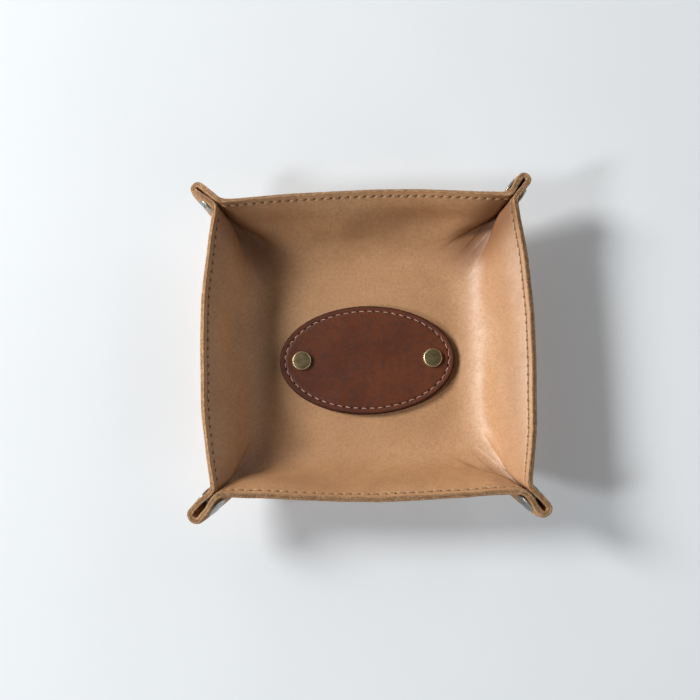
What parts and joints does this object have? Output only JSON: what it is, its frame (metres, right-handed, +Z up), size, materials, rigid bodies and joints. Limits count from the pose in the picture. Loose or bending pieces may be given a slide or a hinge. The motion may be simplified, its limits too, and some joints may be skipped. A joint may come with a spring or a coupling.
{
  "type": "valet tray",
  "caption": "Shallow square leather catch-all tray with stitched rim, corners pinched by snaps and a riveted blank oval badge on its floor.",
  "frame": {"origin": "centre of the floor's fold square, on the underside that rests on the table", "axes": "+X to the right and +Y to the back as pictured from above, +Z up out of the tray"},
  "size_m": [0.1672, 0.1652, 0.0344],
  "materials": {
    "lining_leather": "smooth tan full-grain leather, soft sheen",
    "panel_leather": "smooth tan leather, matte",
    "badge_leather": "dark reddish-brown leather, waxed, burnished edge",
    "antique_brass": "antique brass, brushed",
    "snap_nickel": "nickel-plated, satin",
    "rim_thread": "waxed tan thread",
    "badge_thread": "waxed pale brown thread"
  },
  "bodies": {
    "root": {"back_left_snap_cap": "snap_nickel", "back_left_snap_ring": "snap_nickel", "back_left_snap_socket": "snap_nickel", "back_left_snap_stud": "snap_nickel", "back_right_snap_cap": "snap_nickel", "back_right_snap_ring": "snap_nickel", "back_right_snap_socket": "snap_nickel", "back_right_snap_stud": "snap_nickel", "badge": "badge_leather", "front_left_snap_cap": "snap_nickel", "front_left_snap_ring": "snap_nickel", "front_left_snap_socket": "snap_nickel", "front_left_snap_stud": "snap_nickel", "front_right_snap_cap": "snap_nickel", "front_right_snap_ring": "snap_nickel", "front_right_snap_socket": "snap_nickel", "front_right_snap_stud": "snap_nickel", "left_rivet_cap": "antique_brass", "left_rivet_post": "antique_brass", "lining": "lining_leather", "outer_panel": "panel_leather", "right_rivet_cap": "antique_brass", "right_rivet_post": "antique_brass"}
  },
  "joints": []
}
